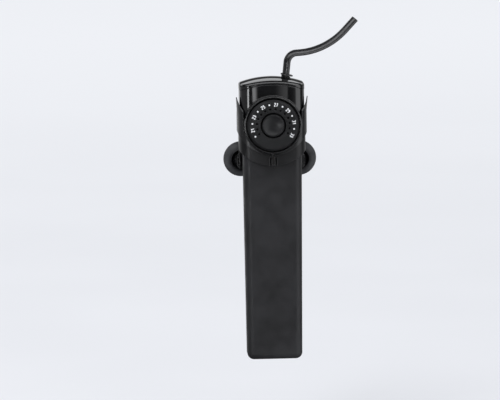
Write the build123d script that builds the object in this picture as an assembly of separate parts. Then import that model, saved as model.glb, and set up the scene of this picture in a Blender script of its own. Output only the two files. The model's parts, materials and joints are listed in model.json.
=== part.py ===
from build123d import *
import math
import os

# Submersible aquarium heater with an electronic thermostat, in a clip-on holder
# with two suction cups.
# Millimetres. +Z is up, the dial faces -Y, +X is to the right seen from the front.
# Origin: centre of the sleeve's flat bottom end.

# ---- driving dimensions ------------------------------------------------------

# Whole heater
CROWN_Z = 200.5  # top of the domed cap
CROWN_RADIUS = 66.0
SEAM_Z = 196.5  # top of the arched seam between cap and head
SEAM_RADIUS = 59.5
CAP_OVERHANG = 0.2
CAP_ROUNDING = 2.2
RUNNING_GAP = 0.05  # radial clearance of every turning fit

# Sleeve
SLEEVE_TOP_Z = 153.0
SLEEVE_WALL = 1.6
SLEEVE_FLOOR = 2.0

# Head
WALL = 1.8
HEAD_SIDE_Z = 148.0  # lower edge of the head at its sides and rear
SKIRT_FRONT_Z = 139.1  # lowest point of the skirt, at the front
SKIRT_ARC_RADIUS = 31.7
LENS_FRONT_Y = -15.1  # the pointer's window lies a little below the skirt
SHOULDER_LOW_Z = 161.5  # below here the head is wider all round
SHOULDER_HIGH_Z = 165.0
SKIRT_FLARE = 0.55
LEDGE_Z = 154.0  # the sleeve's gasket seats under this ledge
LEDGE_THICKNESS = 2.0

# Dial and its boss
DIAL_Z = 168.3
BOSS_RADIUS = 20.3
BOSS_FRONT_Y = -18.6
RECESS_RADIUS = 19.2
RECESS_FLOOR_Y = -15.6
DIAL_RADIUS = 18.0
DIAL_FRONT_Y = -20.0
DIAL_BACK_Y = -16.2
SCALE_RADIUS = 14.7
DIMPLE_CIRCLE_RADIUS = 11.5
DIMPLE_RADIUS = 0.85
DOT_RADIUS = 0.6
SCALE_FIRST = 20
SCALE_LAST = 33
SCALE_STEP_DEG = 18.4
SCALE_TURNED_DEG = 8.1  # the dial is at rest with 27 this far clockwise from the top
PRINT_THICKNESS = 0.08
DIGIT_HEIGHT = 2.6
DIGIT_WIDTH = 1.35
DIGIT_STROKE = 0.5

# Spindle
GLAND_BORE = 3.0
GLAND_END_Y = -8.5
SPINDLE_RADIUS = GLAND_BORE - RUNNING_GAP
SPINDLE_TAIL_RADIUS = 2.0
SPINDLE_END_Y = -4.2

# Holder
CLIP_GAP = 0.15  # between the skirt and the holder
CLIP_THICKNESS = 0.9
CRADLE_LOW_Z = 147.0  # lowest point of the band under the dial boss
CRADLE_RADIUS = 27.1  # curve of the band's lower edge
EAR_TIP_Z = 187.0
EAR_ROOT_Z = 177.0
EAR_FLARE = 0.8  # how far the ears lean out at their tips
EAR_TIP_THICKNESS = 0.5
BAR_WIDTH = 48.0
BAR_LOW_Z = 134.2
BAR_HIGH_Z = 143.6
BAR_FRONT_Y = 12.0
BAR_REAR_Y = 20.5

# Suction cups
CUP_X = 20.5
CUP_Z = 138.9
CUP_RADIUS = 12.55
CUP_GLASS_Y = 28.0
SOCKET_RADIUS = 2.5
SOCKET_FRONT_Y = 13.6

# Cord: flat twin sheath, its broad side turned towards the upper front
CORD_X = 10.2
CORD_Y = 1.0
CORD_YAW_DEG = 13.0  # how far its run to the right also heads backwards
CORD_LEAN_Z = 198.4  # above here it leans over to the right
CORD_LEAN_DEG = 6.5
CORD_LEAN_RADIUS = 10.0
CORD_NECK_LENGTH = 10.8  # straight from the lean to the bend
CORD_BEND_DEG = 81.5
CORD_BEND_RADIUS = 7.0
CORD_RUN_LENGTH = 2.7
CORD_CLIMB_DEG = 43.0
CORD_CLIMB_RADIUS = 49.5
CORD_END_LENGTH = 10.8
SHEATH_HALF_WIDTH = 2.8
SHEATH_HALF_THICKNESS = 2.05
CONDUCTOR_RADIUS = 0.75
CONDUCTOR_OFFSET = 1.25
SHEATH_START_Z = 184.5
FLANGE_Z = 201.4  # the grommet's tilted disc
CONDUCTOR_START_Z = 175.5

# Board and element stack
BOARD_FRONT_Y = -3.0
BOARD_REAR_Y = -1.4
BOARD_LOW_Z = 158.0
BOARD_HIGH_Z = 184.0
BOARD_SCREW_X = 15.5
BOARD_SCREW_MARGIN = 2.5
TERMINAL_Z = 173.0
STACK_LOW_Z = 14.0
STACK_HIGH_Z = 114.0
RIVET_X = 13.5
RIVET_MARGIN = 6.0
RIVET_RADIUS = 1.0


# ---- helpers -----------------------------------------------------------------


class Plan:
    """Plan outline with straight sides, rounded corners, bowed front and rear."""

    def __init__(self, width, depth, bow, corner):
        self.half_width = width / 2
        self.half_depth = depth / 2
        self.bow_radius = (self.half_width**2 + bow**2) / (2 * bow)
        self.corner = corner

    def face(self, grow=0.0):
        """The outline moved outwards by grow, or inwards when it is negative."""
        x = self.half_width + grow
        radius = self.bow_radius + grow
        crest = self.half_depth + grow
        y = crest - (radius - math.sqrt(radius**2 - x**2))
        front = ThreePointArc((-x, -y), (0, -crest), (x, -y))
        rear = ThreePointArc((x, y), (0, crest), (-x, y))
        right = Line((x, -y), (x, y))
        left = Line((-x, y), (-x, -y))
        outline = make_face([front, right, rear, left])
        return fillet(outline.vertices(), self.corner + grow)


SLEEVE_FOOT = Plan(38.9, 19.0, 0.3, 5.0)
SLEEVE_TOP = Plan(41.4, 22.0, 0.4, 5.5)
HEAD = Plan(45.4, 30.0, 2.6, 8.0)


def block(x0, x1, y0, y1, z0, z1):
    """Box between two corners."""
    size = Box(x1 - x0, y1 - y0, z1 - z0)
    return Pos((x0 + x1) / 2, (y0 + y1) / 2, (z0 + z1) / 2) * size


def prism(face, z0, z1):
    """A plan outline extruded from z0 to z1."""
    return extrude(Pos(0, 0, z0) * face, z1 - z0)


def rod_y(radius, y0, y1, x=0.0, z=0.0):
    """Round rod along Y."""
    rod = Cylinder(radius, y1 - y0, rotation=(90, 0, 0))
    return Pos(x, (y0 + y1) / 2, z) * rod


def rod_z(radius, z0, z1, x=0.0, y=0.0):
    """Round rod along Z."""
    return Pos(x, y, (z0 + z1) / 2) * Cylinder(radius, z1 - z0)


def turned(points, x=0.0, z=0.0):
    """Closed (radius, y) profile turned about the line along Y through x, z."""
    profile = make_face(Polyline(*points, close=True))
    return Pos(x, 0, z) * revolve(profile, Axis.Y)


def front_view(face, y0, y1):
    """A face drawn as seen from the front, as (x, z), extruded from y0 to y1."""
    plane = Plane(origin=(0, y0, 0), x_dir=(1, 0, 0), z_dir=(0, -1, 0))
    return extrude(plane * face, -(y1 - y0))


def over_seam():
    """Everything above the arched seam between cap and head."""
    arch = rod_y(SEAM_RADIUS, -30, 30, 0, SEAM_Z - SEAM_RADIUS)
    return block(-30, 30, -30, 30, SEAM_Z - 14, SEAM_Z + 14) - arch


def bottom_rounded(solid, radius):
    """The solid with the rim of its bottom face rounded."""
    rim = solid.faces().sort_by(Axis.Z)[0].edges()
    return fillet(rim, radius)


def write(name, shape):
    """One STEP file per node."""
    shape.label = name
    export_step(shape, f"parts/{name}.step")


# ---- sleeve, head and cap ----------------------------------------------------


def sleeve_solid(grow, floor_z, rounding):
    """Tapered bar between the foot outline and the top outline."""
    foot = Pos(0, 0, floor_z) * SLEEVE_FOOT.face(grow)
    top = Pos(0, 0, SLEEVE_TOP_Z) * SLEEVE_TOP.face(grow)
    return bottom_rounded(loft([foot, top], ruled=True), rounding)


def heater_sleeve():
    outside = sleeve_solid(0, 0, 4.5)
    inside = sleeve_solid(-SLEEVE_WALL, SLEEVE_FLOOR, 3.0)
    return outside - inside


def sleeve_gasket():
    ring = SLEEVE_TOP.face() - SLEEVE_TOP.face(-SLEEVE_WALL)
    return prism(ring, SLEEVE_TOP_Z, LEDGE_Z)


def head_column():
    """The head's outline, wider below the shoulder."""
    skirt = HEAD.face(SKIRT_FLARE)
    shoulder = loft(
        [Pos(0, 0, SHOULDER_LOW_Z) * skirt, Pos(0, 0, SHOULDER_HIGH_Z) * HEAD.face()],
        ruled=True,
    )
    lower = prism(skirt, SKIRT_FRONT_Z, SHOULDER_LOW_Z)
    upper = prism(HEAD.face(), SHOULDER_HIGH_Z, CROWN_Z)
    return lower + shoulder + upper


def head_blank():
    """Outer form of the head: skirt with its curved lower edge, and dial boss."""
    body = head_column() - over_seam()
    skirt_arc = rod_y(SKIRT_ARC_RADIUS, -30, 0, 0, SKIRT_FRONT_Z + SKIRT_ARC_RADIUS)
    below_front = block(-30, 30, -30, 0, SKIRT_FRONT_Z - 5, DIAL_Z) - skirt_arc
    below_rear = block(-30, 30, 0, 30, SKIRT_FRONT_Z - 5, HEAD_SIDE_Z)
    body = body - below_front - below_rear
    boss = rod_y(BOSS_RADIUS, BOSS_FRONT_Y, -5, 0, DIAL_Z)
    rim = boss.faces().sort_by(Axis.Y)[0].edges()
    return body + fillet(rim, 0.7)


def pointer_slots():
    """Two grooves beside the pointer, open at the skirt's lower edge."""
    left = block(-2.4, -1.4, -16, -13.4, SKIRT_FRONT_Z - 1, 145.4)
    return left + mirror(left, Plane.YZ)


def index_notch():
    """Cut in the rim of the boss above the pointer, against which the dial is read."""
    return block(-1.2, 1.2, BOSS_FRONT_Y, -16.6, DIAL_Z - BOSS_RADIUS - 1, DIAL_Z)


def arrow_prism(y0, y1):
    """The pointer's outline, extruded from y0 to y1."""
    right_side = [(0, 147.3), (1.6, 144.3), (0.75, 144.3), (0.75, 140.3)]
    left_side = [(-x, z) for x, z in reversed(right_side[1:])]
    return front_view(make_face(Polyline(*right_side, *left_side, close=True)), y0, y1)


def lens_solid():
    """Arrow-shaped window, with a stem that runs up to the lamp on the board."""
    window = arrow_prism(LENS_FRONT_Y, -13.2)
    stem = block(-0.75, 0.75, -13.2, -12, 140.3, 161)
    foot = block(-0.75, 0.75, -12, -8.6, 158.6, 161)
    return window + stem + foot


def screw_positions():
    """x and z of the four board screws."""
    low = BOARD_LOW_Z + BOARD_SCREW_MARGIN
    high = BOARD_HIGH_Z - BOARD_SCREW_MARGIN
    return [(x, z) for x in (-BOARD_SCREW_X, BOARD_SCREW_X) for z in (low, high)]


def head_housing():
    head = head_blank()
    head -= prism(SLEEVE_TOP.face(0.1), SKIRT_FRONT_Z - 1, LEDGE_Z)
    head -= prism(SLEEVE_TOP.face(-SLEEVE_WALL), LEDGE_Z, LEDGE_Z + LEDGE_THICKNESS)
    head -= prism(HEAD.face(-WALL), LEDGE_Z + LEDGE_THICKNESS, CROWN_Z)
    head -= rod_y(RECESS_RADIUS, BOSS_FRONT_Y, RECESS_FLOOR_Y, 0, DIAL_Z)
    head -= index_notch() + arrow_prism(-17, LENS_FRONT_Y)
    head += rod_y(5.5, RECESS_FLOOR_Y, GLAND_END_Y, 0, DIAL_Z)
    head -= rod_y(GLAND_BORE, RECESS_FLOOR_Y - 1, GLAND_END_Y + 1, 0, DIAL_Z)
    for x, z in screw_positions():
        head += rod_y(2.6, -12.6, BOARD_FRONT_Y, x, z)
        head -= rod_y(0.9, BOARD_FRONT_Y - 6, BOARD_FRONT_Y, x, z)
    return head - pointer_slots() - lens_solid()


def clamp_screw_positions():
    """x of the two strain relief screws."""
    return (CORD_X - 6.9, CORD_X + 6.9)


def top_cap():
    dome = Pos(0, 0, CROWN_Z - CROWN_RADIUS) * Sphere(CROWN_RADIUS)
    lid = prism(HEAD.face(CAP_OVERHANG), 180, CROWN_Z) & dome & over_seam()
    top_edges = lid.faces().sort_by(Axis.Z)[-1].edges()
    lid = fillet(top_edges, CAP_ROUNDING)
    tongue = prism(HEAD.face(-WALL - 0.1) - HEAD.face(-3.6), 186.5, CROWN_Z)
    groove = prism(HEAD.face() - HEAD.face(-2.8), 187.5, 189.0)
    tongue = tongue - over_seam() - groove
    cap = lid + tongue
    for x in clamp_screw_positions():
        post = rod_z(1.9, 190, CROWN_Z, x, CORD_Y) - over_seam()
        cap += post
        cap -= rod_z(0.9, 190, 195, x, CORD_Y)
    return cap - rod_z(3.4, 190, CROWN_Z + 1, CORD_X, CORD_Y)


def cap_gasket():
    return prism(HEAD.face(-WALL) - HEAD.face(-2.8), 187.5, 189.0)


# ---- cord --------------------------------------------------------------------


def cord_path(start_z):
    """Up out of the cap, over to the right, then up to the tank's rim."""
    rise = Line((0, start_z), (0, CORD_LEAN_Z))
    lean = JernArc(rise @ 1, rise % 1, CORD_LEAN_RADIUS, -CORD_LEAN_DEG)
    neck = Line(lean @ 1, lean @ 1 + CORD_NECK_LENGTH * (lean % 1))
    bend = JernArc(neck @ 1, neck % 1, CORD_BEND_RADIUS, -CORD_BEND_DEG)
    run = Line(bend @ 1, bend @ 1 + CORD_RUN_LENGTH * (bend % 1))
    climb = JernArc(run @ 1, run % 1, CORD_CLIMB_RADIUS, CORD_CLIMB_DEG)
    end = Line(climb @ 1, climb @ 1 + CORD_END_LENGTH * (climb % 1))
    yaw = math.radians(CORD_YAW_DEG)
    upright = Plane(
        origin=(CORD_X, CORD_Y, 0),
        x_dir=(math.cos(yaw), math.sin(yaw), 0),
        z_dir=(math.sin(yaw), -math.cos(yaw), 0),
    )
    return upright * Curve([rise, lean, neck, bend, run, climb, end])


def section_plane(start_z):
    """Plane across the cord whose x runs from the front right to the rear left."""
    return Plane(origin=(CORD_X, CORD_Y, start_z), x_dir=(-1, 1, 0), z_dir=(0, 0, 1))


def along_cord(face, start_z):
    """A section swept along the cord."""
    return sweep(section_plane(start_z) * face, path=cord_path(start_z))


def sheath_outside():
    return along_cord(Ellipse(SHEATH_HALF_WIDTH, SHEATH_HALF_THICKNESS), SHEATH_START_Z)


def conductor(side):
    face = Pos(side * CONDUCTOR_OFFSET, 0) * Circle(CONDUCTOR_RADIUS)
    return along_cord(face, CONDUCTOR_START_Z)


def cord_gland(sheath):
    """Grommet: flange under the cap, body in its hole, neck and tilted disc above."""
    body = rod_z(3.4, 194.2, 199.6, CORD_X, CORD_Y)
    under = rod_z(4.6, 193.2, 194.2, CORD_X, CORD_Y)
    neck_face = Ellipse(SHEATH_HALF_WIDTH + 0.4, SHEATH_HALF_THICKNESS + 0.4)
    neck = extrude(section_plane(199.6) * neck_face, 2.4)
    disc = Pos(CORD_X + 0.9, CORD_Y, FLANGE_Z) * Rot(0, 12, 0) * Cylinder(4.4, 0.9)
    disc = fillet(disc.edges(), 0.35)
    return body + under + neck + disc - sheath


def cord_clamp(sheath):
    clamp = block(CORD_X - 8.6, CORD_X + 8.6, CORD_Y - 3.6, CORD_Y + 3.6, 187.0, 190.0)
    clamp = fillet(clamp.edges().filter_by(Axis.Z), 2.5)
    for x in clamp_screw_positions():
        clamp -= rod_z(1.1, 187.0, 190.0, x, CORD_Y)
    return clamp - sheath


def clamp_screws():
    screws = []
    for x in clamp_screw_positions():
        screw = rod_z(0.9, 187.0, 195.0, x, CORD_Y) + rod_z(1.8, 185.8, 187.0, x, CORD_Y)
        screws.append(screw - block(x - 2, x + 2, CORD_Y - 0.25, CORD_Y + 0.25, 185.8, 186.3))
    return Compound(children=screws)


# ---- dial --------------------------------------------------------------------


def scale_angle(value):
    """Clockwise angle from the top, seen from the front, in degrees."""
    return (value - 27) * SCALE_STEP_DEG + SCALE_TURNED_DEG


def dial_place(radius, angle, y):
    """Place on the dial at a clockwise angle, facing forward, upright outwards."""
    turn = math.radians(angle)
    plane = Plane(
        origin=(radius * math.sin(turn), y, DIAL_Z + radius * math.cos(turn)),
        x_dir=(math.cos(turn), 0, -math.sin(turn)),
        z_dir=(0, -1, 0),
    )
    return plane


def dial():
    """Bevelled disc with a moat around a dished hub, and a dimple below each mark."""
    face_y = DIAL_FRONT_Y
    disc = turned(
        [
            (0, DIAL_BACK_Y),
            (DIAL_RADIUS, DIAL_BACK_Y),
            (DIAL_RADIUS, face_y + 1.4),
            (DIAL_RADIUS - 1.4, face_y),
            (9.1, face_y),
            (8.7, face_y + 1.5),
            (8.1, face_y + 1.5),
            (7.8, face_y - 0.1),
            (7.4, face_y - 0.6),
            (0, face_y - 0.6),
        ],
        z=DIAL_Z,
    )
    dish_sphere_radius = 16.0
    dish_depth = 1.5
    centre_y = face_y - 0.6 + dish_depth - dish_sphere_radius
    disc -= Pos(0, centre_y, DIAL_Z) * Sphere(dish_sphere_radius)
    for value in range(SCALE_FIRST, SCALE_LAST + 1):
        place = dial_place(DIMPLE_CIRCLE_RADIUS, scale_angle(value), face_y + 1.0)
        disc -= extrude(place * Circle(DIMPLE_RADIUS), 2)
    return disc - rod_y(SPINDLE_TAIL_RADIUS, DIAL_BACK_Y - 2.6, DIAL_BACK_Y, 0, DIAL_Z)


def digit_lines(digit):
    """Centre lines of one digit, on a cell centred at the origin."""
    w = (DIGIT_WIDTH - DIGIT_STROKE) / 2
    h = (DIGIT_HEIGHT - DIGIT_STROKE) / 2
    if digit == "1":
        return [Line((0.2, -h), (0.2, h)), Line((0.2, h), (-w, h - 0.55))]
    if digit == "2":
        bend = ThreePointArc((-w, h - w), (0, h), (w, h - w))
        return [bend, Line((w, h - w), (-w, -h)), Line((-w, -h), (w, -h))]
    if digit == "3":
        upper = ThreePointArc((-w, h - 0.2), (w, h / 2), (-0.1, 0))
        lower = ThreePointArc((-0.1, 0), (w, -h / 2), (-w, 0.2 - h))
        return [upper, lower]
    if digit == "5":
        bowl = ThreePointArc((-w, 0.15), (w, -h / 2), (-w, 0.15 - h))
        return [Line((w, h), (-w, h)), Line((-w, h), (-w, 0.15)), bowl]
    if digit == "7":
        return [Line((-w, h), (w, h)), Line((w, h), (-0.2, -h))]
    ring = CenterArc((0, h - w), w, 0, 360)
    return [ring, ThreePointArc((w, h - w), (w * 0.8, -h / 2), (-w * 0.6, -h))]


def numeral(text):
    """Two digits side by side."""
    pitch = DIGIT_WIDTH + 0.2
    shape = Sketch()
    for place, digit in zip((-pitch / 2, pitch / 2), text):
        for line in digit_lines(digit):
            shape += Pos(place, 0) * trace(line, DIGIT_STROKE)
    return shape


def dial_marks():
    """Odd temperatures printed as numerals, even ones as dots."""
    prints = []
    for value in range(SCALE_FIRST, SCALE_LAST + 1):
        mark = numeral(str(value)) if value % 2 else Circle(DOT_RADIUS)
        place = dial_place(SCALE_RADIUS, scale_angle(value), DIAL_FRONT_Y)
        prints += extrude(place * mark, PRINT_THICKNESS).solids()
    return Compound(children=prints)


def dial_shaft():
    """Spindle: knurled end in the dial, seal groove, clip groove, flatted tail."""
    shaft = turned(
        [
            (0, DIAL_BACK_Y - 2.6),
            (SPINDLE_TAIL_RADIUS, DIAL_BACK_Y - 2.6),
            (SPINDLE_TAIL_RADIUS, DIAL_BACK_Y),
            (SPINDLE_RADIUS, DIAL_BACK_Y),
            (SPINDLE_RADIUS, -12.6),
            (1.9, -12.6),
            (1.9, -11.2),
            (SPINDLE_RADIUS, -11.2),
            (SPINDLE_RADIUS, -8.4),
            (2.2, -8.4),
            (2.2, -7.7),
            (SPINDLE_RADIUS, -7.7),
            (SPINDLE_RADIUS, -7.3),
            (SPINDLE_TAIL_RADIUS, -7.3),
            (SPINDLE_TAIL_RADIUS, SPINDLE_END_Y),
            (0, SPINDLE_END_Y),
        ],
        z=DIAL_Z,
    )
    flat_z = DIAL_Z + 1.2
    return shaft - block(-3, 3, -7.0, SPINDLE_END_Y, flat_z, flat_z + 2)


def shaft_seal():
    section = Pos(2.44, -11.9) * Circle(0.52)
    return Pos(0, 0, DIAL_Z) * revolve(section, Axis.Y)


def shaft_clip():
    ring = rod_y(4.2, -8.35, -7.75, 0, DIAL_Z) - rod_y(2.2, -8.4, -7.7, 0, DIAL_Z)
    return ring - block(-1.2, 1.2, -9, -7, DIAL_Z - 5, DIAL_Z)


def potentiometer_rotor(shaft):
    return rod_y(3.55, -6.9, -3.9, 0, DIAL_Z) - shaft


def potentiometer_body():
    body = block(-5, 5, -7.0, BOARD_FRONT_Y, DIAL_Z - 5.5, DIAL_Z + 5.5)
    body = fillet(body.edges().filter_by(Axis.Y), 1.2)
    return body - rod_y(3.6, -7.0, -3.8, 0, DIAL_Z)


def indicator_lens():
    return lens_solid()


# ---- board -------------------------------------------------------------------


def control_board():
    board = block(-18, 18, BOARD_FRONT_Y, BOARD_REAR_Y, BOARD_LOW_Z, BOARD_HIGH_Z)
    board = fillet(board.edges().filter_by(Axis.Y), 1.5)
    for x, z in screw_positions():
        board -= rod_y(1.2, BOARD_FRONT_Y, BOARD_REAR_Y, x, z)
    return board


def board_screws():
    screws = []
    for x, z in screw_positions():
        screw = rod_y(0.9, BOARD_FRONT_Y - 6, BOARD_REAR_Y, x, z)
        screw += rod_y(1.9, BOARD_REAR_Y, BOARD_REAR_Y + 1.3, x, z)
        slot = block(x - 2, x + 2, BOARD_REAR_Y + 0.8, BOARD_REAR_Y + 1.3, z - 0.25, z + 0.25)
        screws.append(screw - slot)
    return Compound(children=screws)


def triac():
    """Power switch: moulded body with a metal tab."""
    body = block(-12.5, -3.5, BOARD_REAR_Y, 3.0, 162.5, 171.5)
    tab = block(-12.5, -3.5, 1.7, 3.0, 171.5, 177.5)
    return body + tab - rod_y(1.7, 1.0, 4.0, -8, 174.8)


def capacitor():
    can = rod_y(4.2, BOARD_REAR_Y, 9.4, 8, 163.4)
    return fillet(can.edges().sort_by(Axis.Y)[-1], 0.6)


def controller_chip():
    return block(-13.5, -7.5, -4.6, BOARD_FRONT_Y, 174.5, 179.5)


def status_led():
    """Dome-ended lamp facing the lens stem."""
    body = rod_y(1.5, -6.6, BOARD_FRONT_Y, 0, 159.8)
    return fillet(body.edges().sort_by(Axis.Y)[0], 1.2)


def terminal_screw_positions():
    """x of the two terminal screws."""
    return (CORD_X - 3.8, CORD_X + 3.8)


def terminal_block():
    """Two-way screw terminal, with the conductors entering from above."""
    body = block(2.5, 16.5, BOARD_REAR_Y, 7.0, TERMINAL_Z - 4.5, TERMINAL_Z + 5)
    entry_z = CONDUCTOR_START_Z - 0.1
    near = CORD_Y - 1.9
    far = CORD_Y + 1.9
    wires = block(CORD_X - 2.2, CORD_X + 2.2, near, far, entry_z, TERMINAL_Z + 5)
    for x in terminal_screw_positions():
        body -= rod_y(1.6, 4.0, 7.0, x, TERMINAL_Z)
    return body - wires


def terminal_screws():
    screws = []
    for x in terminal_screw_positions():
        screw = rod_y(1.6, 4.0, 6.4, x, TERMINAL_Z)
        slot = block(x - 2, x + 2, 5.9, 6.4, TERMINAL_Z - 0.3, TERMINAL_Z + 0.3)
        screws.append(screw - slot)
    return Compound(children=screws)


def temperature_sensor():
    bead = rod_z(1.9, 138, 146, -12.5, 6.2)
    return fillet(bead.edges().sort_by(Axis.Z)[0], 1.6)


def sensor_leads():
    leads = []
    for x in (-13.1, -11.9):
        path = Line((x, 6.2, 146), (x, 6.2, 150)) + Spline(
            (x, 6.2, 150), (x, 0.6, 162), tangents=[(0, 0, 1), (0, -1, 0.4)]
        )
        start = Plane(origin=(x, 6.2, 146), z_dir=(0, 0, 1))
        leads.append(sweep(start * Circle(0.35), path=path))
    return Compound(children=leads)


# ---- heating element ---------------------------------------------------------


def stack_layer(half_width, y0, y1, low, high):
    """One layer of the element stack, drilled for the rivets."""
    layer = block(-half_width, half_width, y0, y1, low, high)
    for x, z in rivet_positions():
        layer -= rod_y(RIVET_RADIUS, y0, y1, x, z)
    return layer


def rivet_positions():
    """x and z of the four rivets through the stack."""
    heights = (STACK_LOW_Z + RIVET_MARGIN, STACK_HIGH_Z - RIVET_MARGIN)
    return [(x, z) for x in (-RIVET_X, RIVET_X) for z in heights]


def heating_ribbon():
    """Resistance ribbon folded back and forth across the former."""
    reach = 10.5
    pitch = 6.0
    low = STACK_LOW_Z + 6
    rows = int((STACK_HIGH_Z - STACK_LOW_Z - 14) / pitch)
    points = [(-reach, low)]
    for row in range(rows):
        side = reach if row % 2 == 0 else -reach
        points.append((side, low + row * pitch))
        points.append((side, low + (row + 1) * pitch))
    ribbon = trace(Polyline(*points), 2.4)
    return front_view(ribbon, -1.9, -1.5)


def stack_rivets():
    rivets = []
    for x, z in rivet_positions():
        rivet = rod_y(RIVET_RADIUS, -7.0, 7.0, x, z)
        rivet += rod_y(2.0, -7.5, -7.0, x, z) + rod_y(2.0, 7.0, 7.5, x, z)
        rivets.append(rivet)
    return Compound(children=rivets)


def thermal_cutout():
    """Round cut-out lying across the top of the element."""
    barrel = Cylinder(2.2, 11, rotation=(0, 90, 0))
    return Pos(0, 0, STACK_HIGH_Z + 2.2) * fillet(barrel.edges(), 0.5)


def foot_spacer():
    pad = block(-13, 13, -4.8, 4.8, SLEEVE_FLOOR, STACK_LOW_Z)
    return fillet(pad.edges().filter_by(Axis.Z), 3.0)


def lead_wires():
    """One wire at each side, from the board's rear face down to the element."""
    wires = []
    for side in (-1, 1):
        x = side * 9.0
        path = Line((x, 0, STACK_HIGH_Z), (x, 0, 146)) + Spline(
            (x, 0, 146), (side * 2.5, 0.4, 161), tangents=[(0, 0, 1), (0, -0.2, 1)]
        )
        start = Plane(origin=(x, 0, STACK_HIGH_Z), z_dir=(0, 0, 1))
        wires.append(sweep(start * Circle(0.9), path=path))
    return Compound(children=wires)


# ---- holder and cups ---------------------------------------------------------


def ear_region():
    """Side outline of the collar: a pointed ear on each side, a low back."""
    outline = Polyline(
        (30, 100),
        (30, 166),
        (10, 168),
        (-5.0, EAR_TIP_Z),
        (-7.0, EAR_TIP_Z),
        (-13.3, 177.3),
        (-15.4, DIAL_Z),
        (-30, DIAL_Z),
        (-30, 100),
        close=True,
    )
    plane = Plane(origin=(-30, 0, 0), x_dir=(0, 1, 0), z_dir=(1, 0, 0))
    return extrude(plane * make_face(outline), 60)


def collar_shell():
    """Thin wall around the head, flaring out towards the ear tips."""
    inner = SKIRT_FLARE + CLIP_GAP
    outer = inner + CLIP_THICKNESS
    tip_outer = outer + EAR_FLARE
    wall = prism(HEAD.face(outer) - HEAD.face(inner), BAR_LOW_Z, EAR_ROOT_Z)
    return wall + flared(outer, tip_outer) - flared(inner, tip_outer - EAR_TIP_THICKNESS)


def flared(root_grow, tip_grow):
    """Solid that opens out from the ears' root height to their tips."""
    root = Pos(0, 0, EAR_ROOT_Z) * HEAD.face(root_grow)
    tip = Pos(0, 0, EAR_TIP_Z) * HEAD.face(tip_grow)
    return loft([root, tip], ruled=True)


def cradle_slot():
    """Room for the dial boss, open upwards so that the heater lifts out."""
    clearance = BOSS_RADIUS + 0.2
    slot = rod_y(clearance, -30, -4, 0, DIAL_Z)
    return slot + block(-clearance, clearance, -30, -4, DIAL_Z, EAR_TIP_Z + 5)


def below_cradle():
    """What is cut away under the curved lower edge of the band and the arms."""
    arc = rod_y(CRADLE_RADIUS, -30, 11, 0, CRADLE_LOW_Z + CRADLE_RADIUS)
    return block(-30, 30, -30, 11, BAR_LOW_Z - 1, DIAL_Z) - arc


def holder_clip():
    collar = collar_shell() & ear_region()
    collar = collar - cradle_slot() - below_cradle()
    bar = block(-BAR_WIDTH / 2, BAR_WIDTH / 2, BAR_FRONT_Y, BAR_REAR_Y, BAR_LOW_Z, BAR_HIGH_Z)
    bar = fillet(bar.edges().filter_by(Axis.Y), 2.0)
    holder = collar + bar
    for x in (-CUP_X, CUP_X):
        holder -= rod_y(SOCKET_RADIUS, BAR_FRONT_Y, BAR_REAR_Y, x, CUP_Z)
        holder -= rod_y(SOCKET_RADIUS + 0.6, BAR_FRONT_Y, SOCKET_FRONT_Y, x, CUP_Z)
    return holder


def suction_cup(x):
    """Soft cup: concave towards the glass, neck and button held in the bar."""
    neck = SOCKET_RADIUS - RUNNING_GAP
    button_y = SOCKET_FRONT_Y - RUNNING_GAP
    cup = turned(
        [
            (0, 12.3),
            (neck + 0.5, 12.3),
            (neck + 0.5, button_y),
            (neck, button_y),
            (neck, 22.2),
            (3.2, 23.6),
            (5.9, 23.8),
            (6.5, 21.5),
            (7.2, 21.2),
            (7.9, 21.6),
            (CUP_RADIUS, 26.9),
            (CUP_RADIUS, CUP_GLASS_Y),
            (CUP_RADIUS - 1.1, CUP_GLASS_Y),
            (6.6, 25.2),
            (0, 25.2),
        ],
        x,
        CUP_Z,
    )
    return cup


# ---- build -------------------------------------------------------------------


def main():
    os.makedirs("parts", exist_ok=True)
    sheath = sheath_outside()
    brown = conductor(-1)
    blue = conductor(1)
    shaft = dial_shaft()
    core_y = 1.5
    write("heater_sleeve", heater_sleeve())
    write("sleeve_gasket", sleeve_gasket())
    write("head_housing", head_housing())
    write("indicator_lens", indicator_lens())
    write("top_cap", top_cap())
    write("cap_gasket", cap_gasket())
    write("power_cord", sheath - brown - blue)
    write("core_brown", brown)
    write("core_blue", blue)
    write("cord_gland", cord_gland(sheath))
    write("cord_clamp", cord_clamp(sheath))
    write("clamp_screws", clamp_screws())
    write("dial", dial())
    write("dial_marks", dial_marks())
    write("dial_shaft", shaft)
    write("shaft_seal", shaft_seal())
    write("shaft_clip", shaft_clip())
    write("potentiometer_rotor", potentiometer_rotor(shaft))
    write("potentiometer_body", potentiometer_body())
    write("control_board", control_board())
    write("board_screws", board_screws())
    write("triac", triac())
    write("capacitor", capacitor())
    write("controller_chip", controller_chip())
    write("status_led", status_led())
    write("terminal_block", terminal_block())
    write("terminal_screws", terminal_screws())
    write("temperature_sensor", temperature_sensor())
    write("sensor_leads", sensor_leads())
    write("element_core", stack_layer(15.5, -core_y, core_y, STACK_LOW_Z, STACK_HIGH_Z))
    write("heating_ribbon", heating_ribbon())
    write("insulation_front", stack_layer(16, -2.5, -1.9, STACK_LOW_Z, STACK_HIGH_Z))
    write("insulation_rear", stack_layer(16, core_y, 2.1, STACK_LOW_Z, STACK_HIGH_Z))
    write("heat_spreader_front", stack_layer(16, -7.0, -2.5, STACK_LOW_Z, STACK_HIGH_Z))
    write("heat_spreader_rear", stack_layer(16, 2.1, 7.0, STACK_LOW_Z, STACK_HIGH_Z))
    write("stack_rivets", stack_rivets())
    write("thermal_cutout", thermal_cutout())
    write("foot_spacer", foot_spacer())
    write("lead_wires", lead_wires())
    write("holder_clip", holder_clip())
    write("suction_cup_left", suction_cup(-CUP_X))
    write("suction_cup_right", suction_cup(CUP_X))


main()
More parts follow.
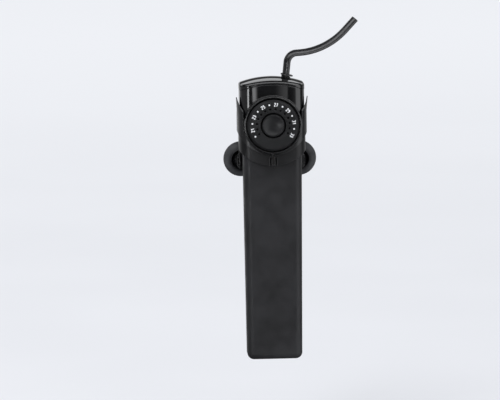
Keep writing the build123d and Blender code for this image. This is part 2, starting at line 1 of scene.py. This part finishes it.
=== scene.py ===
import json
import math

import bmesh
import bpy
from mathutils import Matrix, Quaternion, Vector


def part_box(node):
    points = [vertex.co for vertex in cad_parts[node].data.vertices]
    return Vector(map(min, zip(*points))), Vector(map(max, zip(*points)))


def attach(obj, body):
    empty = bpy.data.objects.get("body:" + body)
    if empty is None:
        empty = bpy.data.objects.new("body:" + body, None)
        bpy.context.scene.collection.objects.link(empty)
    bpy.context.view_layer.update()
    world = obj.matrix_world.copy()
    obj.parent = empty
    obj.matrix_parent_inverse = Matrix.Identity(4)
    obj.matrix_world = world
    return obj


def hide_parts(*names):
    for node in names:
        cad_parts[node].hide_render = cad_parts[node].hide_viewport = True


# Looks of a submersible aquarium heater in its suction-cup holder.
# Metres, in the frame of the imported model: +Z up, the dial faces -Y.

MM = 0.001

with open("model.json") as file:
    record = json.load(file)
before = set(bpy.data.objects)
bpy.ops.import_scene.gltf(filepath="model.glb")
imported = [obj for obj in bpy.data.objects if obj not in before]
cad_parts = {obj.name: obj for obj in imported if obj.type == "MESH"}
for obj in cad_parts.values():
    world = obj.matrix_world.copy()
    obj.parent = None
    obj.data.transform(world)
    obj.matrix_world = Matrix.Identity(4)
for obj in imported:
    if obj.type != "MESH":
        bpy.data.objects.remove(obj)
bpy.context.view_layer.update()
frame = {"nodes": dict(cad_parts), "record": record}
nodes = frame["nodes"]


# ---- node graphs -------------------------------------------------------------------


class Graph:
    """A node tree with short ways to add and join nodes."""

    def __init__(self, tree):
        self.tree = tree

    def add(self, kind, **settings):
        node = self.tree.nodes.new(kind)
        for key, value in settings.items():
            setattr(node, key, value)
        return node

    def feed(self, socket, value):
        """Sets an input to a number or colour, or joins an output to it."""
        if isinstance(value, bpy.types.NodeSocket):
            self.tree.links.new(value, socket)
        elif isinstance(value, tuple) and len(value) == 3 and socket.type == "RGBA":
            socket.default_value = (*value, 1)
        else:
            socket.default_value = value

    def math(self, operation, *values):
        node = self.add("ShaderNodeMath", operation=operation)
        for socket, value in zip(node.inputs, values):
            self.feed(socket, value)
        return node.outputs[0]

    def ramp(self, value, from_low, from_high, to_low=0.0, to_high=1.0):
        """Smooth step from to_low to to_high as value goes from from_low to from_high."""
        node = self.add("ShaderNodeMapRange", interpolation_type="SMOOTHSTEP")
        inputs = ("Value", "From Min", "From Max", "To Min", "To Max")
        for name, number in zip(inputs, (value, from_low, from_high, to_low, to_high)):
            self.feed(node.inputs[name], number)
        return node.outputs[0]

    def window(self, value, low, high, soft_low, soft_high):
        """1 between low and high, falling to 0 over a soft margin outside them."""
        rise = self.ramp(value, low - soft_low, low)
        fall = self.ramp(value, high, high + soft_high, 1, 0)
        return self.math("MULTIPLY", rise, fall)

    def mix(self, factor, first, second):
        """Colour between first and second."""
        node = self.add("ShaderNodeMix", data_type="RGBA")
        self.feed(node.inputs["Factor"], factor)
        self.feed(node.inputs["A"], first)
        self.feed(node.inputs["B"], second)
        return node.outputs["Result"]


SHADER_SAMPLES = 6
EDGE_GAIN = 6.0  # how soon a turned normal counts as a sharp edge


class Finish(Graph):
    """A material: a Principled surface and what drives it."""

    def __init__(self, name, metallic=0.0, specular=0.5):
        self.material = bpy.data.materials.new(name)
        self.material.use_nodes = True
        super().__init__(self.material.node_tree)
        self.surface = self.tree.nodes["Principled BSDF"]
        self.place = self.add("ShaderNodeTexCoord").outputs["Object"]
        self.relief = None
        self.set("Metallic", metallic)
        self.set("Specular IOR Level", specular)

    def set(self, socket, value):
        self.feed(self.surface.inputs[socket], value)

    def axes(self):
        """The x, y and z of the shaded point."""
        split = self.add("ShaderNodeSeparateXYZ")
        self.feed(split.inputs[0], self.place)
        return split.outputs

    def noise(self, size, detail=2.0, stretch=(1, 1, 1)):
        """Noise from 0 to 1 whose features are about size across."""
        mapping = self.add("ShaderNodeMapping")
        mapping.inputs["Scale"].default_value = [1 / (size * s) for s in stretch]
        self.feed(mapping.inputs["Vector"], self.place)
        noise = self.add("ShaderNodeTexNoise")
        noise.inputs["Scale"].default_value = 1.0
        noise.inputs["Detail"].default_value = detail
        self.feed(noise.inputs["Vector"], mapping.outputs[0])
        return noise.outputs["Fac"]

    def bump(self, height, distance):
        """Relief about distance high, on top of earlier relief."""
        node = self.add("ShaderNodeBump")
        node.inputs["Distance"].default_value = distance
        self.feed(node.inputs["Height"], height)
        if self.relief is not None:
            self.feed(node.inputs["Normal"], self.relief)
        self.relief = node.outputs["Normal"]
        self.set("Normal", self.relief)

    def edges(self, radius):
        """Shades edges as if rounded; returns 1 on sharp edges and 0 on open faces."""
        bevel = self.add("ShaderNodeBevel", samples=SHADER_SAMPLES)
        bevel.inputs["Radius"].default_value = radius
        self.relief = bevel.outputs[0]
        true_normal = self.add("ShaderNodeNewGeometry").outputs["Normal"]
        dot = self.add("ShaderNodeVectorMath", operation="DOT_PRODUCT")
        self.feed(dot.inputs[0], self.relief)
        self.feed(dot.inputs[1], true_normal)
        away = self.math("SUBTRACT", 1.0, dot.outputs["Value"])
        return self.math("MINIMUM", self.math("MULTIPLY", away, EDGE_GAIN), 1.0)

    def crevice_shade_mask(self, reach):
        """1 deep in slits between parts and in holes, 0 in the open; the mask for painted shade.
        """
        node = self.add("ShaderNodeAmbientOcclusion", samples=SHADER_SAMPLES)
        node.inputs["Distance"].default_value = reach
        return self.ramp(node.outputs["AO"], 0.35, 0.85, 1, 0)


def tinted(color, factor):
    """The colour made darker or lighter."""
    return tuple(min(1.0, c * factor) for c in color)


# ---- finishes of the outside ---------------------------------------------------------


RUBBED_BLACK = (0.04, 0.04, 0.042)


def moulding(name, color, grain, relief, rounding=0.5 * MM):
    """Black plastic's cloudy colour, rubbed edges, painted shade darkening its hollows, and
    grain; also returns the mask of that painted shade.
    """
    finish = Finish(name)
    cloud = finish.ramp(finish.noise(18 * MM, 4), 0.3, 0.7)
    body = finish.mix(cloud, tinted(color, 0.8), tinted(color, 1.3))
    rubbing = finish.math("MULTIPLY", finish.edges(rounding), finish.noise(3 * MM, 3))
    worn = finish.mix(rubbing, body, RUBBED_BLACK)
    # Painted shade: ambient occlusion darkens the colour in hollows and between parts.
    painted_hollow_shade = finish.crevice_shade_mask(2 * MM)
    finish.set("Base Color", finish.mix(painted_hollow_shade, worn, tinted(color, 0.2)))
    finish.bump(finish.noise(grain, 3), relief)
    return finish, painted_hollow_shade


def moulded(name, color, roughness, grain, relief, specular=0.5):
    """Moulded black plastic with one gloss, smudged, with painted shade that darkens and dulls it
    in its hollows.
    """
    finish, painted_hollow_shade = moulding(name, color, grain, relief)
    # Painted shade: reflections are dimmed in the same hollows.
    finish.set("Specular IOR Level", finish.math("MULTIPLY_ADD", painted_hollow_shade, -0.8 * specular, specular))
    smudges = finish.noise(9 * MM, 5)
    finish.set("Roughness", finish.ramp(smudges, 0.35, 0.75, roughness * 0.85, roughness * 1.25))
    return finish


def sleeve_black():
    """Spark-eroded matt plastic."""
    color = (0.0155, 0.0155, 0.0168)
    finish = moulded("sleeve_black", color, 0.5, 0.45 * MM, 0.03 * MM, 0.22)
    finish.bump(finish.noise(0.16 * MM, 1), 0.012 * MM)
    return finish.material


# Heights between which the head's finish changes.
SATIN_BELOW = 158 * MM
POLISHED_ABOVE = 164 * MM


def head_black():
    """Polished above the shoulder with finger marks, satin on the skirt."""
    color = (0.005, 0.005, 0.0055)
    finish, _ = moulding("head_black", color, 14 * MM, 0.012 * MM, rounding=1.1 * MM)
    marks = finish.ramp(finish.noise(7 * MM, 5), 0.4, 0.75, 0.03, 0.085)
    satin = finish.ramp(finish.axes()["Z"], SATIN_BELOW, POLISHED_ABOVE, 0.36, 0)
    finish.set("Roughness", finish.math("ADD", marks, satin))
    finish.set("Specular IOR Level", finish.math("MULTIPLY_ADD", satin, -0.7, 0.5))
    return finish.material


def dial_black():
    """Satin plastic."""
    color = (0.011, 0.0112, 0.0118)
    return moulded("dial_black", color, 0.42, 0.3 * MM, 0.008 * MM, 0.2).material


def holder_black():
    """Satin plastic, glossier than the dial."""
    color = (0.009, 0.009, 0.0098)
    return moulded("holder_black", color, 0.3, 0.6 * MM, 0.01 * MM, 0.35).material


def print_white():
    """Pad-printed ink with thin spots."""
    finish = Finish("print_white")
    finish.set("Roughness", 0.5)
    thin = finish.ramp(finish.noise(0.4 * MM, 3), 0.25, 0.6)
    finish.set("Base Color", finish.mix(thin, (0.62, 0.63, 0.64), (0.86, 0.87, 0.88)))
    finish.bump(finish.noise(0.15 * MM, 2), 0.01 * MM)
    return finish.material


def lens_smoke():
    """Smoked clear plastic."""
    finish = Finish("lens_smoke")
    finish.set("Base Color", (0.02, 0.019, 0.019))
    finish.set("Transmission Weight", 0.2)
    finish.set("Roughness", finish.ramp(finish.noise(2 * MM, 3), 0.3, 0.7, 0.08, 0.2))
    finish.bump(finish.noise(1.2 * MM, 2), 0.01 * MM)
    return finish.material


# Distances from the cup's axis between which the painted shade of the hub gives way to painted
# light shining through the rim.
CUP_SHADED_HUB_RADIUS = 6.4 * MM
CUP_BACKLIT_RIM_RADIUS = 10.5 * MM


def cup_rubber():
    """Smoky soft plastic, with painted shade at the hub and painted light shining through where
    it thins towards the rim.
    """
    finish = Finish("cup_rubber")
    low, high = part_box("suction_cup_right")
    across, _, up = finish.axes()
    aside = finish.math("SUBTRACT", finish.math("ABSOLUTE", across), (low[0] + high[0]) / 2)
    above = finish.math("SUBTRACT", up, (low[2] + high[2]) / 2)
    squares = finish.math("ADD", finish.math("POWER", aside, 2), finish.math("POWER", above, 2))
    radius = finish.math("SQRT", squares)
    thin = finish.ramp(radius, CUP_SHADED_HUB_RADIUS, CUP_BACKLIT_RIM_RADIUS)
    cloud = finish.ramp(finish.noise(6 * MM, 4), 0.3, 0.7)
    rim = finish.mix(cloud, (0.036, 0.0365, 0.039), (0.052, 0.053, 0.057))
    # Painted shade and light: near black at the hub, lighter towards the rim as if lit through
    # from behind.
    finish.set("Base Color", finish.mix(thin, (0.004, 0.004, 0.005), rim))
    # Painted shade: reflections are dimmed at the hub.
    finish.set("Specular IOR Level", finish.math("MULTIPLY_ADD", thin, 0.28, 0.08))
    finish.set("Roughness", finish.ramp(finish.noise(4 * MM, 5), 0.3, 0.75, 0.3, 0.5))
    finish.bump(finish.noise(0.8 * MM, 3), 0.02 * MM)
    return finish.material


def gland_rubber():
    """Rubber with a faint bloom."""
    color = (0.02, 0.02, 0.021)
    return moulded("gland_rubber", color, 0.3, 0.6 * MM, 0.015 * MM).material


def cord_black():
    """Extruded sheath, a little uneven along its length."""
    color = (0.012, 0.012, 0.013)
    return moulded("cord_black", color, 0.27, 2.5 * MM, 0.03 * MM).material


# ---- finishes of the inside ----------------------------------------------------------


def speckled(name, color, roughness, size, relief=0.01 * MM):
    """Working material with uneven colour, uneven gloss and fine relief."""
    finish = Finish(name)
    patches = finish.ramp(finish.noise(size, 4), 0.3, 0.7)
    finish.set("Base Color", finish.mix(patches, tinted(color, 0.75), tinted(color, 1.2)))
    gloss = finish.noise(size * 2, 3)
    finish.set("Roughness", finish.ramp(gloss, 0.3, 0.7, roughness * 0.75, roughness * 1.3))
    finish.bump(finish.noise(size * 0.3, 3), relief)
    return finish.material


def drawn_metal(name, color, roughness):
    """Metal with fine lines along Z."""
    finish = Finish(name, metallic=1.0)
    lines = finish.noise(0.4 * MM, 3, stretch=(1, 1, 14))
    finish.set("Roughness", finish.ramp(lines, 0.3, 0.7, roughness * 0.7, roughness * 1.4))
    finish.set("Base Color", finish.mix(finish.noise(5 * MM, 3), tinted(color, 0.8), color))
    finish.bump(lines, 0.006 * MM)
    return finish.material


TRACK_SCALE = 220  # tracks about 2.3 mm long, in rows 1.1 mm apart


def board_green():
    """Solder resist over copper tracks."""
    finish = Finish("board_green")
    finish.set("Roughness", 0.35)
    across, _, up = finish.axes()
    place = finish.add("ShaderNodeCombineXYZ")
    finish.feed(place.inputs[0], across)
    finish.feed(place.inputs[1], up)
    tracks = finish.add("ShaderNodeTexBrick")
    tracks.inputs["Scale"].default_value = TRACK_SCALE
    tracks.inputs["Mortar Size"].default_value = 0.03
    finish.feed(tracks.inputs["Vector"], place.outputs[0])
    track = tracks.outputs["Fac"]
    finish.set("Base Color", finish.mix(track, (0.012, 0.1, 0.04), (0.03, 0.2, 0.08)))
    finish.bump(track, 0.03 * MM)
    return finish.material


def mica():
    """Flaky sheet with silvery patches."""
    finish = Finish("mica")
    flakes = finish.ramp(finish.noise(3 * MM, 6), 0.35, 0.65)
    finish.set("Base Color", finish.mix(flakes, (0.38, 0.3, 0.19), (0.66, 0.58, 0.44)))
    finish.set("Roughness", finish.ramp(finish.noise(2 * MM, 4), 0.3, 0.7, 0.25, 0.6))
    finish.bump(flakes, 0.03 * MM)
    return finish.material


def make_finishes():
    """The material for every slot of the record."""
    return {
        "sleeve_black": sleeve_black(),
        "head_black": head_black(),
        "dial_black": dial_black(),
        "holder_black": holder_black(),
        "print_white": print_white(),
        "lens_smoke": lens_smoke(),
        "cup_rubber": cup_rubber(),
        "gland_rubber": gland_rubber(),
        "cord_black": cord_black(),
        "core_brown": speckled("core_brown", (0.16, 0.06, 0.025), 0.4, 2 * MM),
        "core_blue": speckled("core_blue", (0.02, 0.1, 0.4), 0.4, 2 * MM),
        "seal_silicone": speckled("seal_silicone", (0.4, 0.1, 0.06), 0.5, 3 * MM),
        "board_green": board_green(),
        "steel": drawn_metal("steel", (0.6, 0.6, 0.62), 0.3),
        "brass": drawn_metal("brass", (0.72, 0.5, 0.2), 0.28),
        "component_black": speckled("component_black", (0.02, 0.02, 0.021), 0.5, 1.5 * MM),
        "capacitor_sleeve": speckled("capacitor_sleeve", (0.02, 0.035, 0.14), 0.3, 4 * MM),
        "terminal_grey": speckled("terminal_grey", (0.3, 0.31, 0.31), 0.45, 2.5 * MM),
        "led_red": speckled("led_red", (0.55, 0.03, 0.02), 0.15, 1 * MM),
        "mica": mica(),
        "ceramic": speckled("ceramic", (0.7, 0.67, 0.6), 0.7, 1 * MM, 0.03 * MM),
        "aluminium": drawn_metal("aluminium", (0.78, 0.78, 0.79), 0.32),
        "wire_red": speckled("wire_red", (0.45, 0.03, 0.02), 0.45, 2 * MM),
    }


finishes = make_finishes()


# ---- finishing the CAD nodes -----------------------------------------------------------


# Small radius on the edges of the outside pieces. The cord, the print and the cups have none.
EDGE_RADII = {
    "heater_sleeve": 0.3 * MM,
    "head_housing": 0.18 * MM,
    "top_cap": 0.15 * MM,
    "dial": 0.16 * MM,
    "holder_clip": 0.22 * MM,
    "cord_gland": 0.12 * MM,
    "indicator_lens": 0.08 * MM,
}


def soften_edges(node, radius):
    """A small radius on every sharp edge, shaded smoothly."""
    weld = node.modifiers.new("weld", "WELD")
    weld.merge_threshold = 0.001 * MM
    bevel = node.modifiers.new("radius", "BEVEL")
    bevel.width = radius
    bevel.segments = 3
    bevel.limit_method = "ANGLE"
    bevel.angle_limit = math.radians(35)
    bevel.miter_outer = "MITER_ARC"
    normals = node.modifiers.new("normals", "WEIGHTED_NORMAL")
    normals.weight = 100


def dress_nodes():
    """Gives every node its finish, and the outside pieces their small radii."""
    for part in frame["record"]["subparts"]:
        node = nodes[part["node"]]
        node.data.materials.clear()
        node.data.materials.append(finishes[part["material_slot"]])
    for name, radius in EDGE_RADII.items():
        soften_edges(nodes[name], radius)


# ---- suction cups ----------------------------------------------------------------------


def rounded(outline, rounds=3):
    """The open outline with its corners cut again and again until they are round."""
    for _ in range(rounds):
        cut = [outline[0]]
        for (r0, y0), (r1, y1) in zip(outline, outline[1:]):
            cut.append((r0 * 0.8 + r1 * 0.2, y0 * 0.8 + y1 * 0.2))
            cut.append((r0 * 0.2 + r1 * 0.8, y0 * 0.2 + y1 * 0.8))
        outline = cut + [outline[-1]]
    return outline


def spun(name, profile, x, z, steps=128):
    """A (radius, y) profile from axis to axis, turned about the line along Y through x, z."""
    bm = bmesh.new()
    rings = []
    for step in range(steps):
        angle = 2 * math.pi * step / steps
        across, up = math.cos(angle), math.sin(angle)
        rings.append([bm.verts.new((x + r * across, y, z + r * up)) for r, y in profile])
    for here, there in zip(rings, rings[1:] + rings[:1]):
        for i in range(len(profile) - 1):
            face = bm.faces.new((here[i], here[i + 1], there[i + 1], there[i]))
            face.smooth = True
    bmesh.ops.remove_doubles(bm, verts=bm.verts, dist=0.0001 * MM)
    bmesh.ops.recalc_face_normals(bm, faces=bm.faces)
    mesh = bpy.data.meshes.new(name)
    bm.to_mesh(mesh)
    bm.free()
    piece = bpy.data.objects.new(name, mesh)
    bpy.context.scene.collection.objects.link(piece)
    return piece


CUP_BUTTON_RADIUS = 2.85 * MM
CUP_NECK_RADIUS = 2.35 * MM
CUP_RIM = 1.1 * MM  # width and thickness of the edge that rests on the glass
CUP_HOLLOW_DEPTH = 2.8 * MM


def suction_cup(name, node, body):
    """Soft cup with rounded edges, a ring round its neck and a thin rim."""
    low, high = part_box(node)
    x = (low[0] + high[0]) / 2
    z = (low[2] + high[2]) / 2
    radius = (high[0] - low[0]) / 2
    glass = high[1]
    face = glass - low[1]
    # Distance from the axis and from the glass, from the button's face outwards
    # over the neck and the cup to the hollow behind.
    outline = [
        (0, face),
        (CUP_BUTTON_RADIUS, face),
        (CUP_BUTTON_RADIUS, 14.6 * MM),
        (CUP_NECK_RADIUS, 14.6 * MM),
        (CUP_NECK_RADIUS, 5.8 * MM),
        (3.2 * MM, 4.4 * MM),
        (5.9 * MM, 4.2 * MM),
        (6.5 * MM, 6.5 * MM),
        (7.2 * MM, 6.8 * MM),
        (7.9 * MM, 6.4 * MM),
        (radius, CUP_RIM),
        (radius, 0),
        (radius - CUP_RIM, 0),
        (6.6 * MM, CUP_HOLLOW_DEPTH),
        (0, CUP_HOLLOW_DEPTH),
    ]
    profile = [(r, glass - ahead) for r, ahead in rounded(outline)]
    cup = spun(name, profile, x, z)
    cup.data.materials.append(finishes["cup_rubber"])
    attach(cup, body)
    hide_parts(node)


# ---- stage -------------------------------------------------------------------------------


FLOOR_DROP = 70 * MM  # the heater hangs this far above the floor
CAMERA_DISTANCE = 2.5
CAMERA_AZIMUTH = math.radians(-3.05)
CAMERA_ELEVATION = math.radians(8.69)
CAMERA_ROLL = math.radians(-0.79)
PICTURE_WIDTH = 352.2 * MM  # across the picture at the heater
AIM = Vector((-15.95 * MM, 0, 113.24 * MM))  # the middle of the picture
SENSOR_WIDTH = 36.0
CAMERA_REACH = 50.0
FLOOR_HALF_WIDTH = 12.0


def make_floor():
    """Plain pale floor, with painted light that makes it a little brighter in the distance."""
    half = FLOOR_HALF_WIDTH
    mesh = bpy.data.meshes.new("floor")
    corners = [(-half, -half), (half, -half), (half, half), (-half, half)]
    mesh.from_pydata([(x, y, -FLOOR_DROP) for x, y in corners], [], [(0, 1, 2, 3)])
    floor = bpy.data.objects.new("floor", mesh)
    bpy.context.scene.collection.objects.link(floor)
    finish = Finish("floor", specular=0.0)
    finish.set("Roughness", 0.9)
    # Painted light: the colour brightens with distance, making up for the key lamp's falloff.
    distance = finish.ramp(finish.axes()["Y"], 0.2, 3.0)
    cloud = finish.ramp(finish.noise(300 * MM, 2), 0.3, 0.7)
    near = finish.mix(cloud, (0.79, 0.8, 0.83), (0.81, 0.82, 0.85))
    finish.set("Base Color", finish.mix(distance, near, (0.93, 0.94, 0.965)))
    mesh.materials.append(finish.material)
    floor.visible_glossy = False


def make_camera():
    """Long lens, slightly from the left and above, with the heater right of centre."""
    camera = bpy.data.objects.new("camera", bpy.data.cameras.new("camera"))
    bpy.context.scene.collection.objects.link(camera)
    camera.data.sensor_width = SENSOR_WIDTH
    camera.data.lens = SENSOR_WIDTH * CAMERA_DISTANCE / PICTURE_WIDTH
    camera.data.clip_end = CAMERA_REACH
    level = math.cos(CAMERA_ELEVATION)
    x = math.sin(CAMERA_AZIMUTH) * level
    y = -math.cos(CAMERA_AZIMUTH) * level
    outwards = Vector((x, y, math.sin(CAMERA_ELEVATION)))
    camera.location = AIM + outwards * CAMERA_DISTANCE
    level_view = (-outwards).to_track_quat("-Z", "Y")
    camera.rotation_mode = "QUATERNION"
    camera.rotation_quaternion = level_view @ Quaternion((0, 0, 1), CAMERA_ROLL)
    bpy.context.scene.camera = camera


def soft_light(name, location, target, size, power):
    """A large lamp that lights matt surfaces but isn't mirrored in polished ones."""
    light = bpy.data.lights.new(name, "AREA")
    light.size = size
    light.energy = power
    lamp = bpy.data.objects.new(name, light)
    bpy.context.scene.collection.objects.link(lamp)
    lamp.location = location
    aim = Vector(target) - Vector(location)
    lamp.rotation_euler = aim.to_track_quat("-Z", "Y").to_euler()
    lamp.visible_glossy = False


class Studio(Graph):
    """World: even light for matt surfaces, and lamps that show in polished ones.

    Angles are in degrees. Azimuth is 0 towards the front and positive to the right.
    """

    def __init__(self, world):
        super().__init__(world.node_tree)
        self.tree.nodes.clear()
        direction = self.add("ShaderNodeTexCoord").outputs["Generated"]
        split = self.add("ShaderNodeSeparateXYZ")
        self.feed(split.inputs[0], direction)
        x, y, z = split.outputs
        turn = self.math("ARCTAN2", x, self.math("MULTIPLY", y, -1.0))
        self.azimuth = self.math("MULTIPLY", turn, 180 / math.pi)
        self.elevation = self.math("MULTIPLY", self.math("ARCSINE", z), 180 / math.pi)
        self.mirrored = 0.0

    def lamp(self, level, sideways, upwards):
        """Adds a lamp seen through two windows, one across and one up."""
        seen = self.math("MULTIPLY", sideways, upwards)
        self.mirrored = self.math("MULTIPLY_ADD", seen, level, self.mirrored)

    def strip(self, level, low, high, soft_low, soft_high, bottom=-14, top=-1):
        """Adds an upright lamp between two azimuths."""
        sideways = self.window(self.azimuth, low, high, soft_low, soft_high)
        self.lamp(level, sideways, self.window(self.elevation, bottom, top, 4, 4))

    def finish(self, ambient, gloom, color):
        """Joins up the world: ambient for matt surfaces, gloom behind the lamps."""
        level = self.add("ShaderNodeMix")
        glossy = self.add("ShaderNodeLightPath").outputs["Is Glossy Ray"]
        self.feed(level.inputs["Factor"], glossy)
        self.feed(level.inputs["A"], ambient)
        self.feed(level.inputs["B"], self.math("ADD", self.mirrored, gloom))
        background = self.add("ShaderNodeBackground")
        self.feed(background.inputs["Color"], color)
        self.feed(background.inputs["Strength"], level.outputs["Result"])
        output = self.add("ShaderNodeOutputWorld")
        self.feed(output.inputs["Surface"], background.outputs[0])


def make_world():
    """The lamps that show in the polished head, and the even light on the rest."""
    world = bpy.data.worlds.new("studio")
    world.use_nodes = True
    bpy.context.scene.world = world
    studio = Studio(world)
    # Streaks on the front of the head, and a dim glow on its left side.
    studio.strip(level=10.0, low=-35, high=-24, soft_low=4, soft_high=3)
    studio.strip(level=4.0, low=-12.4, high=-11.4, soft_low=0.8, soft_high=3)
    studio.strip(level=1.0, low=15.4, high=15.6, soft_low=11, soft_high=0.4)
    studio.strip(level=0.35, low=-90, high=-40, soft_low=20, soft_high=5)
    # A tall lamp on the right, for the right-hand edges of the head and sleeve.
    studio.strip(level=2.2, low=36, high=70, soft_low=18, soft_high=15, bottom=-55, top=40)
    # A lamp above the front, for the faces there that slope upwards.
    beside = studio.math("ABSOLUTE", studio.azimuth)
    ahead = studio.ramp(beside, 60, 80, 1, 0)
    studio.lamp(3.5, ahead, studio.window(studio.elevation, 34, 60, 6, 8))
    # Two bands behind, mirrored in the top of the cap.
    behind = studio.ramp(beside, 95, 120)
    studio.lamp(0.6, behind, studio.window(studio.elevation, -30, 3, 5, 3))
    studio.lamp(1.4, behind, studio.window(studio.elevation, 21, 30, 3, 6))
    studio.finish(ambient=0.93, gloom=0.08, color=(0.97, 0.98, 1.0))


dress_nodes()
suction_cup("cup_left", "suction_cup_left", "left_cup")
suction_cup("cup_right", "suction_cup_right", "right_cup")
make_floor()
make_camera()
make_world()
soft_light("key", location=(-0.9, -1.5, 1.8), target=(0, 0, 0.12), size=0.9, power=16)
bpy.context.scene.view_settings.view_transform = "Standard"
